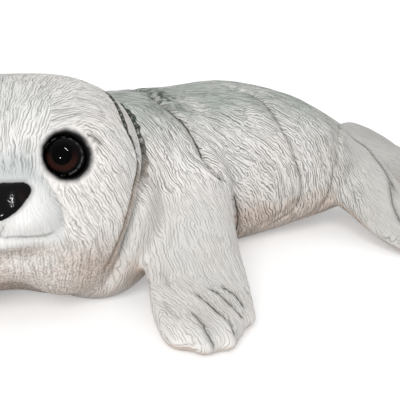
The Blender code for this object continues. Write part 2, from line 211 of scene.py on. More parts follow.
HIND_TOES = [
    ((67, -82), (71, -97)), ((73, -80), (79, -98)), ((79, -77), (87, -96)), ((84, -73), (93, -89)),
    ((120, -17), (142, -13)), ((121, -10), (144, -5)), ((121, -3), (145, 3)), ((120, 4), (143, 12)),
]
FOLD_BLUR = 2.6 * MM

# Each fold's line, its depth and half width in mm, and how dark its painted shade is.
crease_line = head_line(CREASE, 1, NECK_REACH)
folds = [(head_line(NECK, 1, NECK_REACH), 0.9, 1.0, 0.7), (crease_line, 0.9, 0.8, 1.0)]
folds.append((head_line(LIP_CLEFT), 0.5, 0.6, 0.35))
for side in (1, -1):
    folds.append((head_line(MOUTH, side), 0.8, 0.7, 0.4))
    folds.append((head_line(PAD_EDGE, side), 0.5, 1.1, 0.3))
    folds.append((head_line(BROW_TICK, side), 0.5, 0.8, 0.75))
    folds.append((trunk_line(SHOULDER_FOLD, side), 1.0, 0.9, 1.0))
    folds.append((trunk_line(ARMPIT, side), 0.5, 1.6, 1.0))
    folds.append((trunk_line(FLANK_FOLD, side), 0.6, 0.8, 0.55))
    folds.append((trunk_line(HIP_FOLD, side), 0.4, 1.0, 0.28))
    for groove in TOES:
        folds.append((limb_line(groove, side), 0.9, 0.8, 0.8))
    for groove in STRAY_CUTS:
        folds.append((limb_line(groove, side), 0.3, 0.7, 0.3))
for groove in HIND_GROOVES:
    folds.append((limb_line(groove), 0.7, 1.1, 0.75))
for base, end in HIND_TOES:
    folds.append((limb_line([base, np.mean((base, end), axis=0), end]), 0.6, 0.9, 0.45))


def beside(points, normals, line, margin=9 * MM):
    """The points close to a line: which, how far off it, on which side of it, and their share along it."""
    low, high = line.min(axis=0) - margin, line.max(axis=0) + margin
    near = np.flatnonzero(np.all((points > low) & (points < high), axis=1))
    least, sign, share = np.full(len(near), 1.0), np.ones(len(near)), np.zeros(len(near))
    for k, (a, b) in enumerate(zip(line, line[1:])):
        run = b - a
        part = np.clip((points[near] - a) @ run / max(run @ run, 1e-12), 0, 1)
        off = points[near] - a - part[:, None] * run
        away = np.linalg.norm(off, axis=1)
        closer = away < least
        least[closer] = away[closer]
        sign[closer] = np.sign(np.einsum("ij,ij->i", np.cross(run, off), normals[near]))[closer]
        share[closer] = ((k + part) / (len(line) - 1))[closer]
    return near, least, sign, share


def eased(value, low, high):
    """0 at low, 1 at high and an even S between; low may be the greater."""
    t = np.clip((value - low) / (high - low), 0, 1)
    return t * t * (3 - 2 * t)


normals = normals_of(casting.data)
sink = np.zeros(len(points))
fold_side, fold_shade = np.full(len(points), 9.0), np.zeros(len(points))
nearest = np.full(len(points), 9 * MM)
# Each fold sinks the skin and lays painted shade along its line.
for line, depth, width, dark in folds:
    near, away, sign, share = beside(points, normals, line)
    ends = eased(share, -0.02, 0.12) * eased(share, 1.02, 0.88)
    sink[near] += depth * MM * ends * np.exp(-((away / (width * MM)) ** 2))
    sink[near] -= 0.25 * depth * MM * ends * np.exp(-((away / (width * MM) - 2.2) ** 2))
    closer = near[away < nearest[near]]
    fold_side[closer] = (away * sign / MM)[away < nearest[near]]
    fold_shade[near] = np.maximum(fold_shade[near], dark * ends * np.exp(-((away / FOLD_BLUR) ** 2)))
    nearest[near] = np.minimum(nearest[near], away)

# Casting, its fur: short wavy strokes, cut tuft by tuft in the way that a pup's coat lies.
# Each row is a place and the way its strokes run: on the head in degrees down from the pup's left,
# on the trunk in degrees down from +X, and on a limb in degrees from +X towards its tip.
HEAD_FUR = [
    (1, 12, 90), (1, 22, 90), (1, 35, 90), (1, 50, 90), (1, 68, 90),
    (9, 19, 98), (10, 28, 106), (12, 49, 114), (18, 32, 118), (18, 14, 83), (20, 24, 104), (27, 46, 146),
    (28, 34, 165), (38, 34, 0), (47, 44, 168), (43, 29, 31), (50, 30, 42), (59, 37, 62), (52, 18, 57),
    (63, 9, 64), (60, 24, 56), (44, 3, 54), (34, -1, 60), (27, 6, 58), (43, -10, 60), (34, -14, 66),
    (50, -20, 62), (42, -29, 80), (60, -8, 60), (66, 16, 70),
    (30, -40, 88), (55, -40, 80), (8, -30, 88), (5, -55, 88), (80, 25, 74), (72, 5, 74), (90, 35, 64),
    (105, 50, 60), (74, -20, 80), (74, -8, 76), (80, 4, 74), (40, 64, 150), (75, 62, 5), (110, 68, 30),
    (150, 60, 60), (178, 52, 88),
]
TRUNK_FUR = [
    (-60, 3, 0), (-20, 3, 0), (20, 3, 0), (60, 3, 0), (90, 3, 0), (-6, 21, 3), (16, 34, 18), (8, 55, 43),
    (-6, 64, 47), (16, 68, 42), (-2, 88, 44), (10, 103, 55), (26, 93, 74), (37, 50, 53), (38, 71, 69),
    (42, 90, 77), (55, 77, 71), (64, 60, 50), (64, 91, 90), (88, 55, 22), (88, 85, 40), (-60, 30, 50),
    (-44, 38, 80), (-37, 52, 57), (-46, 66, 78), (-38, 74, 73), (-50, 93, 95), (-57, 79, 92),
    (-49, 99, 85), (-10, 120, 84), (20, 120, 84), (50, 118, 88), (80, 115, 70), (-30, 20, 25),
    (-60, 60, 82), (-62, 76, 86), (-62, 95, 88), (-58, 110, 88), (-66, 50, 76), (-54, 46, 66),
]
FORE_FUR = [
    (-60, -80, 80), (-48, -84, 88), (-58, -96, 82), (-46, -100, 96), (-60, -115, 86), (-48, -112, 92),
    (-68, -92, 75), (-70, -108, 78), (-36, -78, 100), (-38, -96, 96), (-34, -64, 84),
]
HIND_FUR = [
    (64, -50, 86), (68, -62, 88), (72, -76, 84), (84, -70, 70), (90, -80, 60), (78, -92, 76),
    (96, -24, 12), (110, -20, 10), (124, -14, 8), (138, -8, 6), (120, -34, -4), (128, 4, 24),
]
HEAD_APART, BROW_APART, TRUNK_APART, LIMB_APART = 1.3, 1.0, 1.32, 1.1
BROW_UP = 25
LIMB_SLOPE = -0.42
TUFT_LONG, TUFT_REACH, TUFT_THIN = 1.7, 12 * MM, 1.4
TUFT_TRIES, TUFT_NEIGHBOURS = 24000, 7
FIRST_APART, SECOND_APART = 10.5 * MM, 11.5 * MM

fur_places, fur_ways, fur_apart = [], [], []


def lay_strokes(place, way, apart):
    """Keeps a place on the skin, the way that strokes run there, and how far apart they lie in mm."""
    if place is not None and way.length > 0:
        fur_places.append(tuple(place))
        fur_ways.append(tuple(way))
        fur_apart.append(apart)


for side in (1, -1):
    for azimuth, elevation, angle in HEAD_FUR:
        ray = head_axes @ head_ray(side * azimuth, elevation)
        left = Vector((0, 0, 1)).cross(ray).normalized() * side
        slant = math.radians(angle)
        way = left * math.cos(slant) + ray.cross(left * side) * -math.sin(slant)
        apart = BROW_APART if elevation > BROW_UP else HEAD_APART
        lay_strokes(skin_shape.ray_cast(head_middle, ray)[0], way, apart)
    for along, angle, slope in TRUNK_FUR:
        turn, slant = math.radians(angle) * side, math.radians(slope)
        ray = Vector((0, -math.sin(turn), math.cos(turn)))
        down = Vector((0, -math.cos(turn), -math.sin(turn))) * side
        start = Vector((along, *spine_at(along))) * MM
        way = Vector((math.cos(slant), 0, 0)) + down * math.sin(slant)
        lay_strokes(skin_shape.ray_cast(start, ray)[0], way, TRUNK_APART)
for rows, sides in ((FORE_FUR, (1, -1)), (HIND_FUR, (1,))):
    for x, y, angle in rows:
        for side in sides:
            slant = math.radians(angle)
            way = Vector((math.cos(slant), -math.sin(slant) * side, LIMB_SLOPE))
            start = Vector((x, y * side, ABOVE_ALL)) * MM
            lay_strokes(skin_shape.ray_cast(start, Vector((0, 0, -1)))[0], way, LIMB_APART)
fur_places, fur_ways, fur_apart = np.array(fur_places), np.array(fur_ways), np.array(fur_apart)

# Where each point is: on the head by degrees and reach from its middle, and how far past the neck line.
HEAD_HALF_SIZE, HEAD_SPREAD, HEAD_NEAR = (50, 42, 42.5), 1.3, 70
NECK_TOP = 46
local = (points - np.array(head_middle)) @ np.array(head_axes) / MM
reach = np.linalg.norm(local, axis=1)
azimuth = np.degrees(np.arctan2(-local[:, 0], local[:, 1]))
elevation = np.degrees(np.arcsin(local[:, 2] / reach))
ring = np.array(NECK, float)
left_edge = np.interp(elevation, ring[:8, 1], ring[:8, 0])
right_edge = np.interp(elevation, ring[:7:-1, 1], ring[:7:-1, 0])
beyond = np.minimum(azimuth % 360 - left_edge, right_edge - azimuth % 360)
beyond[elevation > NECK_TOP] = -40
on_head = (beyond < 0) & (np.linalg.norm(local / HEAD_HALF_SIZE, axis=1) < HEAD_SPREAD)

x, y, z = points.T / MM
fore = eased(np.abs(y + 5 * (y > 0)), 50, 64) * eased(x, -14, -22) * (1 - on_head) * eased(z, 46, 34)
limb = np.clip(fore + eased(-y, 52, 64) * eased(x, 30, 40) + eased(x, 92, 108), 0, 1)
hind = eased(x, 54, 72)

LATTICE = 512
rng = np.random.default_rng(11)
lattice = rng.uniform(-1, 1, (LATTICE, LATTICE))


def waves(u, v):
    """Smooth random numbers about 0 over the plane of u and v, one hump to each unit."""
    i, j = np.floor(u).astype(int), np.floor(v).astype(int)
    s, t = eased(u - i, 0, 1), eased(v - j, 0, 1)
    low, high = (lattice[i % LATTICE, (j + k) % LATTICE] for k in (0, 1))
    low_next, high_next = (lattice[(i + 1) % LATTICE, (j + k) % LATTICE] for k in (0, 1))
    return (low * (1 - s) + low_next * s) * (1 - t) + (high * (1 - s) + high_next * s) * t


def tuft_layer(apart):
    """Tufts over the whole skin, about apart from each other, each with the frame of its strokes.

    Gives each point's tuft, and each face corner's place in its face's tuft: strokes across, mm along,
    and how far the corner is inside the tuft.
    """
    kept = np.empty((0, 3))
    chosen = []
    for i in rng.permutation(len(points))[:TUFT_TRIES]:
        if not len(chosen) or np.min(np.sum((kept - points[i]) ** 2, axis=1)) > apart**2:
            chosen.append(i)
            kept = points[chosen]
    up = normals[chosen]
    first = np.cross(up, (0.31, 0.52, 0.79))
    first /= np.linalg.norm(first, axis=1, keepdims=True)
    second = np.cross(up, first)
    away = np.linalg.norm(kept[:, None] - fur_places[None], axis=2)
    weight = np.exp(-((away / TUFT_REACH) ** 2)) + 1e-9 / (away / TUFT_REACH) ** 2
    turn = np.arctan2(second @ fur_ways.T, first @ fur_ways.T)
    turn = np.arctan2((weight * np.sin(2 * turn)).sum(axis=1), (weight * np.cos(2 * turn)).sum(axis=1)) / 2
    turn += rng.normal(0, math.radians(3), len(turn))
    along = first * np.cos(turn)[:, None] + second * np.sin(turn)[:, None]
    across = np.cross(up, along)
    spacing = (weight * fur_apart).sum(axis=1) / weight.sum(axis=1) * MM
    start = rng.uniform(0, 900, (len(kept), 2))
    index = KDTree(len(kept))
    for i, place in enumerate(kept):
        index.insert(place, i)
    index.balance()

    def inside(places, tufts):
        off = places - kept[tufts]
        parts = [np.einsum("ij,ij->i", off, way[tufts]) for way in (across, along, up)]
        size = np.sqrt(parts[0] ** 2 + (parts[1] / TUFT_LONG) ** 2 + (TUFT_THIN * parts[2]) ** 2)
        return parts[0] / spacing[tufts] + start[tufts, 0], parts[1] / MM + start[tufts, 1], size / MM

    near = np.array([[found[1] for found in index.find_n(place, TUFT_NEIGHBOURS)] for place in points])
    sizes = np.array([inside(points, near[:, k])[2] for k in range(TUFT_NEIGHBOURS)])
    own = near[np.arange(len(points)), sizes.argmin(axis=0)]
    mesh = casting.data
    corner_point = np.empty(len(mesh.loops), np.int32)
    mesh.loops.foreach_get("vertex_index", corner_point)
    starts, totals = np.empty(len(mesh.polygons), np.int32), np.empty(len(mesh.polygons), np.int32)
    mesh.polygons.foreach_get("loop_start", starts)
    mesh.polygons.foreach_get("loop_total", totals)
    corner_tuft = np.repeat(own[corner_point[starts]], totals)
    u, v, size = inside(points[corner_point], corner_tuft)
    others = np.where(near[corner_point].T == corner_tuft, 99.0, sizes[:, corner_point]).min(axis=0)
    corners = np.array([u, v, np.maximum(others - size, 0)]).T
    u, v, _ = inside(points, own)
    ranked = np.sort(sizes, axis=0)
    return corners, np.array([u, v, ranked[1] - ranked[0]]).T


layers = [tuft_layer(FIRST_APART), tuft_layer(SECOND_APART)]
STROKE_DEPTH, STROKE_EVERY, STROKE_THIN = 0.25 * MM, 3.0, 0.13


def bold_strokes(lines):
    """1 in the middle of the deeper wavy cuts, one for every few strokes."""
    u, v, _ = lines.T
    phase = u / STROKE_EVERY + 0.35 * waves(u / 4, v / 5) + 0.7 * waves(u / 9 + 40, v / 14)
    off = np.abs(phase - np.round(phase))
    return np.exp(-((off / STROKE_THIN) ** 2)) * eased(waves(u / 2.5 + 90, v / 11), -0.35, 0.15)


first, second = (point_tufts for _, point_tufts in layers)
share = eased(first[:, 2] / (first[:, 2] + second[:, 2] + 1e-6), 0.3, 0.7)
coarse = bold_strokes(first) * share + bold_strokes(second) * (1 - share)

# Casting, its face: the muzzle, the nose with its nostrils, and the eye surrounds are modelled smooth.
# The fur fades out before them, and thins over the hind limbs.
NOSE_HALF_WIDTH, NOSE_TOP, NOSE_TIP = 16.8, 8.6, -4.7
NOSTRIL_APART, NOSTRIL_UP, NOSTRIL_SLANT = 8.6, 3.2, 0.35
NOSTRIL_HALF_WIDTH, NOSTRIL_HALF_HEIGHT, SEPTUM_HALF_WIDTH = 1.6, 2.2, 0.7
NOSTRIL_DEPTH, SEPTUM_DEPTH, NOSE_RISE, SWELL_RISE = 0.9 * MM, 0.35 * MM, 0.6 * MM, 0.22 * MM
EYE_FRONT = (8, 2)
rise = np.clip((elevation - NOSE_TIP) / (NOSE_TOP - NOSE_TIP), 0, 1)
half = NOSE_HALF_WIDTH * rise**0.65 * (1 - 0.42 * rise**5)
nose = np.minimum(half - np.abs(azimuth), NOSE_TOP - elevation) * 0.8
nose = np.where((reach < HEAD_NEAR) & (elevation > NOSE_TIP), nose, -20)
beside_nostril = np.abs(azimuth) - NOSTRIL_APART + NOSTRIL_SLANT * (elevation - 3)
above_nostril = elevation - NOSTRIL_UP
nostril = (beside_nostril / NOSTRIL_HALF_WIDTH) ** 2 + (above_nostril / NOSTRIL_HALF_HEIGHT) ** 2
nostril = np.exp(-nostril) * (reach < HEAD_NEAR)
septum = np.exp(-((azimuth / SEPTUM_HALF_WIDTH) ** 2)) * eased(nose, 0.0, 1.0)
pad_line = np.array(PAD_EDGE, float)
pad_edge = np.interp(-elevation, -pad_line[:, 1], pad_line[:, 0])
muzzle = eased(np.abs(azimuth) - pad_edge, 3, -3) * eased(elevation, 19, 9) * eased(elevation, -24, -16)
muzzle *= reach < HEAD_NEAR
eye_away = np.full(len(points), 30.0)
for middle, eye_side in zip(eye_middles, (1, -1)):
    axis = np.array(head_axes @ head_ray(eye_side * (EYE_APART - EYE_FRONT[0]), EYE_UP - EYE_FRONT[1]))
    off = (points - np.array(middle)) / MM
    out = off @ axis
    round_eye = np.linalg.norm(off - out[:, None] * axis, axis=1)
    eye_away = np.minimum(eye_away, np.where(out > -2, round_eye, 30))
furry = eased(eye_away, 9, 12) * (1 - 0.72 * muzzle) * (1 - eased(nose, -3, 0))
furry *= 1 - 0.62 * hind
coarse *= 1 - 0.5 * limb
sink += STROKE_DEPTH * coarse * furry * eased(z, 1, 5)
sink += NOSTRIL_DEPTH * nostril + SEPTUM_DEPTH * septum - NOSE_RISE * eased(nose, -1.2, 0.6)
sink -= SWELL_RISE * waves(x / 11 + 60, y / 11 + z / 9 + 60) * furry
points -= normals * sink[:, None]

# Each neck crease gets a band of painted shade, green-black above and brown below, between two torn dark
# lines.
# Half a band's width is in mm, by degrees up the head, times its own share in the rows below.
CREASE_AT, CREASE_HALF = (-40, -10, 10, 22, 36), (7.0, 5.0, 1.9, 2.6, 3.3)
crease_off, crease_shade_share = np.full(len(points), 99.0), np.zeros(len(points))
for line, wide in (
    (crease_line, 0.5),
    (head_line(NECK[3:9], 1, NECK_REACH), 1.15),
    (head_line(NECK[8:], 1, NECK_REACH), 0.55),
):
    near, away, _, share = beside(points, normals, line)
    crease_off[near] = np.minimum(crease_off[near], away / MM / wide)
    shown = eased(away, 8.8 * MM, 7 * MM) * eased(share, 1.0, 0.94) * eased(share, 0.0, 0.16)
    crease_shade_share[near] = np.maximum(crease_shade_share[near], shown)
crease_side = crease_off / np.interp(elevation, CREASE_AT, CREASE_HALF)
crease_high = eased(elevation, -12, 22)

# Casting, its lids: a soft raised rim round each eye, modelled with the face.
# It lies close to the glass and leaves it a thin clearance for glue.
EYE_RADIUS = 8 * MM
LID_GAP, LID_RISE = 0.12 * MM, 0.55 * MM
LID_AT, LID_HALF_WIDTH = 9.0, 1.1
lid = np.exp(-(((eye_away - LID_AT) / LID_HALF_WIDTH) ** 2)) * (eye_away < 20)
points += normals * (LID_RISE * lid)[:, None]
for middle in eye_middles:
    off = points - np.array(middle)
    away = np.linalg.norm(off, axis=1)
    touching = (away < EYE_RADIUS + LID_GAP) & (away > 1e-6)
    points[touching] += off[touching] * ((EYE_RADIUS + LID_GAP) / away[touching] - 1)[:, None]
points[:, 2] = np.maximum(points[:, 2], 0)
put_points(casting.data, points)
casting.data.polygons.foreach_set("use_smooth", [True] * len(casting.data.polygons))
normals = normals_of(casting.data)


def keep_on_skin(name, *columns):
    """Three numbers for each point of the casting, for its paint to read."""
    values = np.zeros((len(points), 3), np.float32)
    for k, column in enumerate(columns):
        values[:, k] = column
    casting.data.attributes.new(name, "FLOAT_VECTOR", "POINT").data.foreach_set("vector", values.ravel())


# Where each paint goes: white on the head, then painted shade: greyer towards the tail, olive on surfaces
# facing up and warm brown on those facing down.
upward = normals[:, 2]
head_share = eased(beyond, 6, -6) * on_head
# Painted shade: olive on surfaces that face up.
top_shade = eased(upward, 0.25, 0.98) * eased(z, 40, 66) * (1 - 0.85 * head_share)
# Painted shade, warm brown: on the throat, on faces turned down, on the low belly and under the chin.
throat = eased(x, -38, -58) * eased(z, 38, 16) * (1 - on_head) * (1 - fore)
faces_down = eased(upward, 0.1, -0.6) * (1 - on_head) + eased(upward, -0.12, -0.75) * on_head
low_belly = eased(z, 30, 4) * (1 - limb) * eased(upward, 0.3, -0.2)
under_shade = faces_down * (1 - muzzle) + 0.9 * low_belly
under_shade = np.clip(under_shade + 0.4 * eased(elevation, -20, -32) * on_head + 0.5 * throat, 0, 1) * 0.85
# Painted shade: greyer towards the tail, and on the fore flippers by height above the floor.
rear_shade = np.interp(x, (-50, 0, 40, 60, 95), (0.0, 0.16, 0.33, 0.78, 1.0)) * (1 - head_share)
fore_shade = np.interp(z, (4, 9, 20, 36), (0.25, 0.4, 0.55, 0.5))
rear_shade = rear_shade * (1 - fore) + fore_shade * fore
# Painted shade: grey over the nose bridge, the crown and the sides of the whisker pads.
face_shade = eased(np.abs(azimuth), 22, 10) * eased(elevation, 30, 17) * eased(elevation, 5, 13)
face_shade = face_shade + 0.3 * eased(elevation, 20, 42) * eased(np.abs(azimuth), 52, 30)
pad_shade = eased(np.abs(azimuth) - pad_edge, -11, -2) * eased(np.abs(azimuth) - pad_edge, 1.5, 0) * muzzle
face_shade = (face_shade + 0.55 * pad_shade) * (reach < HEAD_NEAR)
# Painted shade: dark spots where the back rises behind the neck.
back_start_shade = np.exp(-(((x + 27) / 8) ** 2)) * eased(z, 63, 69) * (1 - on_head)
keep_on_skin("cover", limb, furry, coarse * furry)
for name, layer in zip(("tuft_first", "tuft_second"), layers):
    kept = casting.data.attributes.new(name, "FLOAT_VECTOR", "CORNER")
    kept.data.foreach_set("vector", layer[0].astype(np.float32).ravel())
keep_on_skin("fold", fold_side, fold_shade, nostril)
keep_on_skin("crease", crease_side, crease_shade_share, crease_high)
keep_on_skin("face", nose, eye_away, muzzle)
keep_on_skin("paint", top_shade, under_shade, rear_shade)
keep_on_skin("extra", face_shade, back_start_shade, head_share)

# Casting, its paint: matt off-white, with a thin grey-olive painted shade that stays in the cuts.
# Olive painted shade lies on surfaces facing up and warm brown painted shade on those facing down, and the
# nose and eye surrounds are black.
OFF_WHITE = (0.88, 0.86, 0.84)
ROSE_WHITE = (0.88, 0.825, 0.79)
MUZZLE_WHITE = (0.90, 0.895, 0.88)
REAR_SHADE_GREY = (0.50, 0.49, 0.465)
FACE_SHADE_GREY = (0.58, 0.61, 0.61)
TOP_SHADE_OLIVE = (0.41, 0.46, 0.425)
UNDER_SHADE_BROWN = (0.71, 0.57, 0.48)
HEAD_CUT_SHADE = (0.22, 0.22, 0.185)
TRUNK_CUT_SHADE = (0.085, 0.08, 0.062)
STIPPLE_BROWN = (0.33, 0.24, 0.185)
FOLD_SHADE = (0.055, 0.055, 0.042)
FOLD_SHADE_BROWN = (0.10, 0.065, 0.045)
CREASE_SHADE_GREEN = (0.026, 0.036, 0.028)
CREASE_SHADE_BROWN = (0.42, 0.315, 0.24)
NOSTRIL_RED = (0.014, 0.007, 0.0065)
NOSE_BLACK = (0.004, 0.004, 0.0045)
SOOT = (0.009, 0.009, 0.009)
PAINT_SHINE, PAINT_RELIEF = 0.06, 0.27 * MM
PAINT_ROUGHNESS, SOOT_ROUGHNESS, NOSE_ROUGHNESS = 0.5, 0.42, 0.14
SOOT_OUT, SOOT_IN = 10.7, 8.4
FINE_STROKES, FINE_WIDTH = 1.0, 0.19
BOLD_STROKES, BOLD_WIDTH = 0.37, 0.07


def add(tree, kind, values=(), **settings):
    """A shader node with its settings, and its sockets set, or linked to another node's."""
    made = tree.nodes.new(kind)
    for name, value in settings.items():
        setattr(made, name, value)
    for key, value in dict(values).items():
        if isinstance(value, bpy.types.NodeSocket):
            tree.links.new(value, made.inputs[key])
        else:
            made.inputs[key].default_value = value
    return made


def maths(tree, operation, first, second=0.0):
    return add(tree, "ShaderNodeMath", {0: first, 1: second}, operation=operation).outputs[0]


def times(tree, first, *others):
    for other in others:
        first = maths(tree, "MULTIPLY", first, other)
    return first


def lessened(tree, share, most):
    """1 where share is 0, and less by most where it is 1."""
    return maths(tree, "SUBTRACT", 1.0, times(tree, share, most))


def ramp(tree, value, low, high, top=1.0):
    """0 where value is low and top where it is high, with soft ends."""
    values = {"Value": value, "From Min": low, "From Max": high, "To Max": top}
    return add(tree, "ShaderNodeMapRange", values, interpolation_type="SMOOTHSTEP").outputs[0]


def between(tree, share, first, second):
    """The first value, moved by share towards the second."""
    return add(tree, "ShaderNodeMix", {0: share, 2: first, 3: second}, data_type="FLOAT").outputs[0]


def blend(tree, share, first, second):
    """The first colour, with a share of the second over it."""
    colours = [(*c, 1.0) if isinstance(c, tuple) else c for c in (first, second)]
    values = {0: share, 6: colours[0], 7: colours[1]}
    return add(tree, "ShaderNodeMix", values, data_type="RGBA").outputs[2]


def noise(tree, vector, scale, detail=2.0):
    values = {"Vector": vector, "Scale": scale, "Detail": detail}
    return add(tree, "ShaderNodeTexNoise", values, noise_dimensions="3D").outputs["Fac"]


def torn(tree, value, vector, scale, reach):
    """A distance made uneven by half of reach each way, to tear a painted edge."""
    uneven = maths(tree, "SUBTRACT", noise(tree, vector, scale), 0.5)
    return maths(tree, "ADD", value, times(tree, uneven, reach))


def read_skin(tree, name):
    """The vector that a piece keeps on its skin under this name."""
    return add(tree, "ShaderNodeAttribute", attribute_name=name).outputs["Vector"]


def split(tree, vector):
    return add(tree, "ShaderNodeSeparateXYZ", {0: vector}).outputs


# Carved strokes: fine parallel cuts that sway a little, across a tuft's own plane.
carving = bpy.data.node_groups.new("carved_strokes", "ShaderNodeTree")
for label, kind in (("Tuft", "Vector"), ("Strokes", "Float"), ("Width", "Float")):
    carving.interface.new_socket(name=label, in_out="INPUT", socket_type="NodeSocket" + kind)
for label in ("Cut", "Height", "Inside"):
    carving.interface.new_socket(name=label, in_out="OUTPUT", socket_type="NodeSocketFloat")
given = carving.nodes.new("NodeGroupInput").outputs
stroke_u, stroke_v, tuft_inside = split(carving, given["Tuft"])


def humps(wide, long, detail=1.0):
    """Noise about 0 over a tuft, whose humps are wide strokes across and long mm along."""
    values = {0: maths(carving, "DIVIDE", stroke_u, wide), 1: maths(carving, "DIVIDE", stroke_v, long)}
    plane = add(carving, "ShaderNodeCombineXYZ", values).outputs[0]
    return maths(carving, "SUBTRACT", noise(carving, plane, 1.0, detail), 0.5)


swayed = maths(carving, "ADD", stroke_u, times(carving, humps(2.2, 3.2), 1.5))
swayed = maths(carving, "ADD", swayed, times(carving, humps(7.0, 13.0, 0.0), 3.2))
nearest_cut = maths(carving, "PINGPONG", times(carving, swayed, given["Strokes"]), 0.5)
strength = ramp(carving, humps(1.1, 11.0), -0.26, 0.06)
cut = ramp(carving, maths(carving, "DIVIDE", nearest_cut, given["Width"]), 1.0, 0.0)
dome = times(carving, ramp(carving, nearest_cut, 0.34, 0.0), strength)
found = {
    "Cut": times(carving, cut, strength),
    "Height": maths(carving, "SUBTRACT", 1.0, dome),
    "Inside": tuft_inside,
}
result = carving.nodes.new("NodeGroupOutput")
for label, value in found.items():
    carving.links.new(value, result.inputs[label])

paint = bpy.data.materials.new("painted_resin")
paint.use_nodes = True
resin = paint.node_tree
shader = resin.nodes["Principled BSDF"]
limb_share, fur_share, coarse_cut = split(resin, read_skin(resin, "cover"))
fold_away, fold_shade_share, nostril_share = split(resin, read_skin(resin, "fold"))
crease_away, crease_near, crease_top = split(resin, read_skin(resin, "crease"))
nose_in, eye_off, muzzle_share = split(resin, read_skin(resin, "face"))
top_shade_share, under_shade_share, rear_shade_share = split(resin, read_skin(resin, "paint"))
face_shade_share, back_start_shade_share, white_share = split(resin, read_skin(resin, "extra"))
place = add(resin, "ShaderNodeTexCoord").outputs["Object"]


def fur(strokes, width):
    """Cuts and height of one size of stroke, from the two layers of tufts."""
    found = []
    for name in ("tuft_first", "tuft_second"):
        group = resin.nodes.new("ShaderNodeGroup")
        group.node_tree = carving
        resin.links.new(read_skin(resin, name), group.inputs["Tuft"])
        group.inputs["Strokes"].default_value = strokes
        group.inputs["Width"].default_value = width
        found.append(group.outputs)
    both = maths(resin, "ADD", found[0]["Inside"], found[1]["Inside"])
    share = ramp(resin, maths(resin, "DIVIDE", found[1]["Inside"], both), 0.35, 0.65)
    return [between(resin, share, found[0][label], found[1][label]) for label in ("Cut", "Height")]


fine_cut, fine_height = fur(FINE_STROKES, FINE_WIDTH)
bold_cut, bold_height = fur(BOLD_STROKES, BOLD_WIDTH)
patches = noise(resin, place, 55.0, 3.0)
grain = noise(resin, place, 900.0, 3.0)

# Ground colour with random rose patches and muzzle white, then painted shade: grey towards the tail and on
# the face, olive on top, warm brown below.
colour = blend(resin, ramp(resin, patches, 0.35, 0.65, 0.5), OFF_WHITE, ROSE_WHITE)
colour = blend(resin, rear_shade_share, colour, REAR_SHADE_GREY)
colour = blend(resin, muzzle_share, colour, MUZZLE_WHITE)
colour = blend(resin, face_shade_share, colour, FACE_SHADE_GREY)
colour = blend(resin, times(resin, top_shade_share, ramp(resin, patches, 0.2, 0.6, 0.9)), colour, TOP_SHADE_OLIVE)
colour = blend(resin, times(resin, under_shade_share, ramp(resin, patches, 0.1, 0.7, 0.9)), colour, UNDER_SHADE_BROWN)

# Painted shade in the cuts, thinner on the head and the limbs, and stipple under the chin.
depth = maths(resin, "ADD", ramp(resin, noise(resin, place, 160.0, 1.0), 0.3, 0.7, 0.3), 0.72)
depth = maths(resin, "SUBTRACT", depth, times(resin, white_share, 0.3))
cut_shade = times(resin, fine_cut, depth)
cut_shade = maths(resin, "MAXIMUM", cut_shade, times(resin, bold_cut, 0.85))
cut_shade = maths(resin, "MAXIMUM", cut_shade, times(resin, coarse_cut, 0.45))
under_head = times(resin, under_shade_share, white_share)
bare = lessened(resin, under_head, 0.4)
cut_shade = times(resin, cut_shade, bare, fur_share, lessened(resin, limb_share, 0.45))
stipple = times(resin, ramp(resin, noise(resin, place, 1250.0), 0.44, 0.66), under_head)
colour = blend(resin, times(resin, stipple, 0.6), colour, STIPPLE_BROWN)
colour = blend(resin, cut_shade, colour, blend(resin, white_share, TRUNK_CUT_SHADE, HEAD_CUT_SHADE))

# Painted shade along the folds and in the neck creases, and spotted where the back rises behind the neck.
off_line = maths(resin, "ABSOLUTE", torn(resin, fold_away, place, 260.0, 1.6))
fold_shade_line = times(resin, ramp(resin, off_line, 0.75, 0.1), fold_shade_share)
fold_shade_haze = times(resin, ramp(resin, off_line, 2.8, 0.0), fold_shade_share, 0.45)
fold_shade_colour = blend(resin, under_shade_share, FOLD_SHADE, FOLD_SHADE_BROWN)
colour = blend(resin, maths(resin, "MAXIMUM", fold_shade_line, fold_shade_haze), colour, fold_shade_colour)
# Painted shade in the neck creases: a mottled band with torn dark edge lines.
off_crease = maths(resin, "ABSOLUTE", torn(resin, crease_away, place, 190.0, 1.7))
mottle = ramp(resin, noise(resin, place, 620.0, 3.0), 0.2, 0.56, 0.75)
crease_shade_band = times(resin, ramp(resin, off_crease, 1.25, 0.8), maths(resin, "ADD", mottle, 0.25))
edge_line = maths(resin, "ABSOLUTE", maths(resin, "SUBTRACT", off_crease, 0.95))
crease_shade_band = maths(resin, "MAXIMUM", crease_shade_band, ramp(resin, edge_line, 0.2, 0.02))
crease_shade_band = between(resin, crease_top, ramp(resin, off_crease, 1.7, 0.1, 0.62), crease_shade_band)
crease_shade_colour = blend(resin, crease_top, CREASE_SHADE_BROWN, CREASE_SHADE_GREEN)
colour = blend(resin, times(resin, crease_shade_band, crease_near, 0.95), colour, crease_shade_colour)
# Painted shade: dark spots where the back rises behind the neck.
back_start_shade_spots = ramp(resin, noise(resin, place, 330.0, 3.0), 0.42, 0.6, 0.85)
colour = blend(resin, times(resin, back_start_shade_share, back_start_shade_spots), colour, CREASE_SHADE_GREEN)

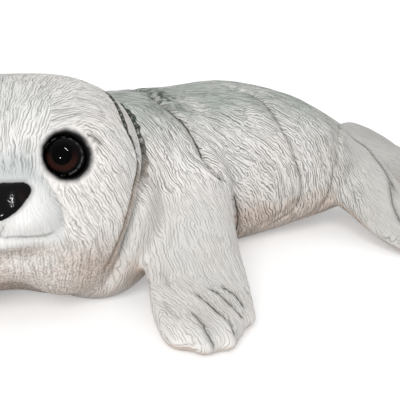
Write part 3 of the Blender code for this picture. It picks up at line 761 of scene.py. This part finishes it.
# Black round the eyes and on the nose.
soot = ramp(resin, torn(resin, eye_off, place, 300.0, 1.3), SOOT_OUT, SOOT_IN)
colour = blend(resin, soot, colour, SOOT)
black = ramp(resin, torn(resin, nose_in, place, 500.0, 0.8), -0.25, 0.45)
colour = blend(resin, ramp(resin, nose_in, -2.6, 0.2, 0.4), colour, NOSE_BLACK)
colour = blend(resin, black, colour, blend(resin, nostril_share, NOSE_BLACK, NOSTRIL_RED))
resin.links.new(colour, shader.inputs["Base Color"])
rough = maths(resin, "ADD", times(resin, grain, 0.2), PAINT_ROUGHNESS)
rough = between(resin, soot, rough, SOOT_ROUGHNESS)
rough = between(resin, black, rough, NOSE_ROUGHNESS)
resin.links.new(rough, shader.inputs["Roughness"])

# Relief of the cuts, softer on the limbs, with the paint's grain and stipple.
quiet = lessened(resin, limb_share, 0.5)
bold = times(resin, bold_height, fur_share, 0.7, quiet)
height = maths(resin, "ADD", times(resin, fine_height, fur_share, bare), bold)
height = maths(resin, "ADD", times(resin, height, quiet), times(resin, grain, 0.25))
height = maths(resin, "SUBTRACT", height, times(resin, stipple, 0.9))
bump = add(resin, "ShaderNodeBump", {"Height": height, "Strength": 1.0, "Distance": PAINT_RELIEF})
resin.links.new(bump.outputs[0], shader.inputs["Normal"])
shader.inputs["Specular IOR Level"].default_value = PAINT_SHINE
casting.data.materials.append(paint)

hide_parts("body")
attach(casting, "root")

# Glass eyes: solid glass half as round again at the front, with a painted iris behind the clear face.
# Each is glued in a socket of the casting and looks nearly straight ahead.
CORNEA_RADIUS, CORNEA_RISE = 6.1 * MM, 0.25 * MM
PUPIL_RADIUS, IRIS_RADIUS, GLINT_RADIUS = 3.5, 5.9, 7.3
GLASS_ROUGHNESS, GLASS_SHINE = 0.03, 0.03
GAZE_APART, GAZE_UP = -1.0, 13.5
PUPIL_BLACK = (0.0008, 0.0008, 0.001)
IRIS_BROWN = (0.034, 0.011, 0.008)
RIM_BLACK = (0.0015, 0.0013, 0.0013)
RIM_PAINTED_GLINT = (0.085, 0.085, 0.08)

glass = bpy.data.materials.new("eye_glass")
glass.use_nodes = True
clear = glass.node_tree
glass_x, glass_y, _ = split(clear, read_skin(clear, "glass"))
level = add(clear, "ShaderNodeCombineXYZ", {0: glass_x, 1: glass_y}).outputs[0]
out = add(clear, "ShaderNodeVectorMath", {0: level}, operation="LENGTH").outputs["Value"]
streak_ray = add(clear, "ShaderNodeVectorMath", {0: level}, operation="NORMALIZE").outputs[0]
streaks = ramp(clear, noise(clear, streak_ray, 9.0, 3.0), 0.3, 0.7)
# Painted light: the iris is brighter in its lower half and dark under the top.
painted_light_low = ramp(clear, glass_y, 2.5, -3.0)
iris = blend(clear, maths(clear, "MULTIPLY_ADD", streaks, 0.5), PUPIL_BLACK, IRIS_BROWN)
iris = blend(clear, painted_light_low, RIM_BLACK, iris)
colour = blend(clear, ramp(clear, out, PUPIL_RADIUS - 0.2, PUPIL_RADIUS + 0.4), PUPIL_BLACK, iris)
colour = blend(clear, ramp(clear, out, IRIS_RADIUS - 0.7, IRIS_RADIUS), colour, RIM_BLACK)
# Painted reflection: a faint torn grey ring near the glass's rim, in its base colour.
bowed = maths(clear, "ADD", out, times(clear, noise(clear, streak_ray, 2.3, 2.0), 0.9))
ring = ramp(clear, maths(clear, "ABSOLUTE", maths(clear, "SUBTRACT", bowed, GLINT_RADIUS)), 0.4, 0.05)
ring = times(clear, ring, ramp(clear, noise(clear, streak_ray, 3.1, 2.0), 0.45, 0.6))
colour = blend(clear, ring, colour, RIM_PAINTED_GLINT)
shader = clear.nodes["Principled BSDF"]
clear.links.new(colour, shader.inputs["Base Color"])
shader.inputs["Roughness"].default_value = GLASS_ROUGHNESS
shader.inputs["Specular IOR Level"].default_value = GLASS_SHINE

for name, node, eye_side, middle in (
    ("left_glass_eye", "left_eye", 1, eye_middles[0]),
    ("right_glass_eye", "right_eye", -1, eye_middles[1]),
):
    bpy.ops.object.select_all(action="DESELECT")
    bpy.ops.mesh.primitive_uv_sphere_add(segments=64, ring_count=40, radius=EYE_RADIUS)
    eye = bpy.context.object
    eye.name = name
    places = points_of(eye.data)
    out = np.hypot(places[:, 0], places[:, 1])
    bulge = eased(out, CORNEA_RADIUS, 0.5 * CORNEA_RADIUS) * (places[:, 2] > 0)
    places *= (1 + CORNEA_RISE / EYE_RADIUS * bulge)[:, None]
    put_points(eye.data, places)
    kept = eye.data.attributes.new("glass", "FLOAT_VECTOR", "POINT")
    kept.data.foreach_set("vector", (places / MM).astype(np.float32).ravel())
    gaze = head_axes @ head_ray(eye_side * GAZE_APART, GAZE_UP)
    aside = head_up.cross(gaze)
    turn = Matrix((aside, gaze.cross(aside), gaze)).transposed().to_4x4()
    eye.data.transform(Matrix.Translation(middle) @ turn)
    bpy.ops.object.shade_smooth()
    eye.data.materials.append(glass)
    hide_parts(node)
    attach(eye, "root")

# Floor: a plain pale sheet under the pup, that takes its shadow.
# To the camera and to gloss its own light brings it up to white.
FLOOR_REACH = 12.0
FLOOR_PALE, FLOOR_PALER = (0.80, 0.80, 0.80), (0.82, 0.82, 0.82)
FLOOR_GLOW, FLOOR_DROP = 0.34, 0.1 * MM
bpy.ops.object.select_all(action="DESELECT")
bpy.ops.mesh.primitive_plane_add(size=2 * FLOOR_REACH, location=(0, 0, -FLOOR_DROP))
floor = bpy.context.object
floor.name = "floor"


def seen_directly(tree):
    """1 for rays from the camera, or by way of gloss or glass, and 0 for the rest."""
    rays = add(tree, "ShaderNodeLightPath").outputs
    found = maths(tree, "MAXIMUM", rays["Is Camera Ray"], rays["Is Glossy Ray"])
    return maths(tree, "MAXIMUM", found, rays["Is Transmission Ray"])


sheet = bpy.data.materials.new("floor")
sheet.use_nodes = True
pale = sheet.node_tree
shader = pale.nodes["Principled BSDF"]
clouds = noise(pale, add(pale, "ShaderNodeTexCoord").outputs["Object"], 3.0)
floor_colour = blend(pale, ramp(pale, clouds, 0.2, 0.8), FLOOR_PALE, FLOOR_PALER)
pale.links.new(floor_colour, shader.inputs["Base Color"])
shader.inputs["Roughness"].default_value = 0.9
shader.inputs["Specular IOR Level"].default_value = 0.0
shader.inputs["Emission Color"].default_value = (1, 1, 1, 1)
pale.links.new(times(pale, seen_directly(pale), FLOOR_GLOW), shader.inputs["Emission Strength"])
floor.data.materials.append(sheet)

# Studio light: a white room and one broad lamp beside the camera.
# Two small lamps light nothing but the glints that each eye shows, a dot and a short arc.
ROOM_LEVEL = 0.63
world = bpy.data.worlds.new("room")
bpy.context.scene.world = world
world.use_nodes = True
room = world.node_tree
level = between(room, seen_directly(room), ROOM_LEVEL, 1.0)
room.links.new(level, room.nodes["Background"].inputs["Strength"])
room.nodes["Background"].inputs["Color"].default_value = (1, 1, 1, 1)

VIEW_AZIMUTH, VIEW_RISE, VIEW_DISTANCE, VIEW_LENS = -30.0, 16.0, 420 * MM, 81.0
VIEW_MIDDLE = Vector((-1.85, -10.8, 17.7)) * MM


def seen_from(azimuth, elevation):
    """The way from the object to a viewer who looks at it at azimuth, as the camera's is given."""
    a, e = math.radians(azimuth), math.radians(elevation)
    return Vector((math.sin(a) * math.cos(e), -math.cos(a) * math.cos(e), math.sin(e)))


def lamp(name, kind, azimuth, elevation, distance, energy, size, roll=0.0):
    """A lamp that shines on the pup's middle, from a place given as the camera's is."""
    data = bpy.data.lights.new(name, kind)
    data.energy = energy
    if kind == "SUN":
        data.angle = math.radians(size)
    elif kind == "AREA":
        data.shape = "RECTANGLE"
        data.size, data.size_y = size
    else:
        data.shadow_soft_size = size
    holder = bpy.data.objects.new(name, data)
    bpy.context.scene.collection.objects.link(holder)
    way = seen_from(azimuth, elevation)
    holder.location = VIEW_MIDDLE + way * distance
    turned = (-way).to_track_quat("-Z", "Y").to_matrix() @ Matrix.Rotation(math.radians(roll), 3, "Z")
    holder.rotation_euler = turned.to_euler()
    return holder


key = lamp("key", "SUN", VIEW_AZIMUTH - 8, 32, 1.0, 1.75, 30)
key.visible_glossy = False
for glint in (
    lamp("eye_dot", "POINT", VIEW_AZIMUTH - 10, 14, 0.6, 12.0, 0.014),
    lamp("eye_arc", "AREA", VIEW_AZIMUTH + 24, 52, 0.6, 7.0, (0.014, 0.2), 40.0),
):
    glint.visible_diffuse = False

# Camera: a long lens, low and to the pup's left, as close as the photograph's.
camera_data = bpy.data.cameras.new("camera")
camera_data.lens = VIEW_LENS
camera_data.sensor_width = 36.0
camera_data.clip_start, camera_data.clip_end = 0.01, 100.0
camera = bpy.data.objects.new("camera", camera_data)
bpy.context.scene.collection.objects.link(camera)
view_way = seen_from(VIEW_AZIMUTH, VIEW_RISE)
camera.location = VIEW_MIDDLE + view_way * VIEW_DISTANCE
camera.rotation_euler = (-view_way).to_track_quat("-Z", "Y").to_euler()
bpy.context.scene.camera = camera
bpy.context.scene.view_settings.view_transform = "Standard"
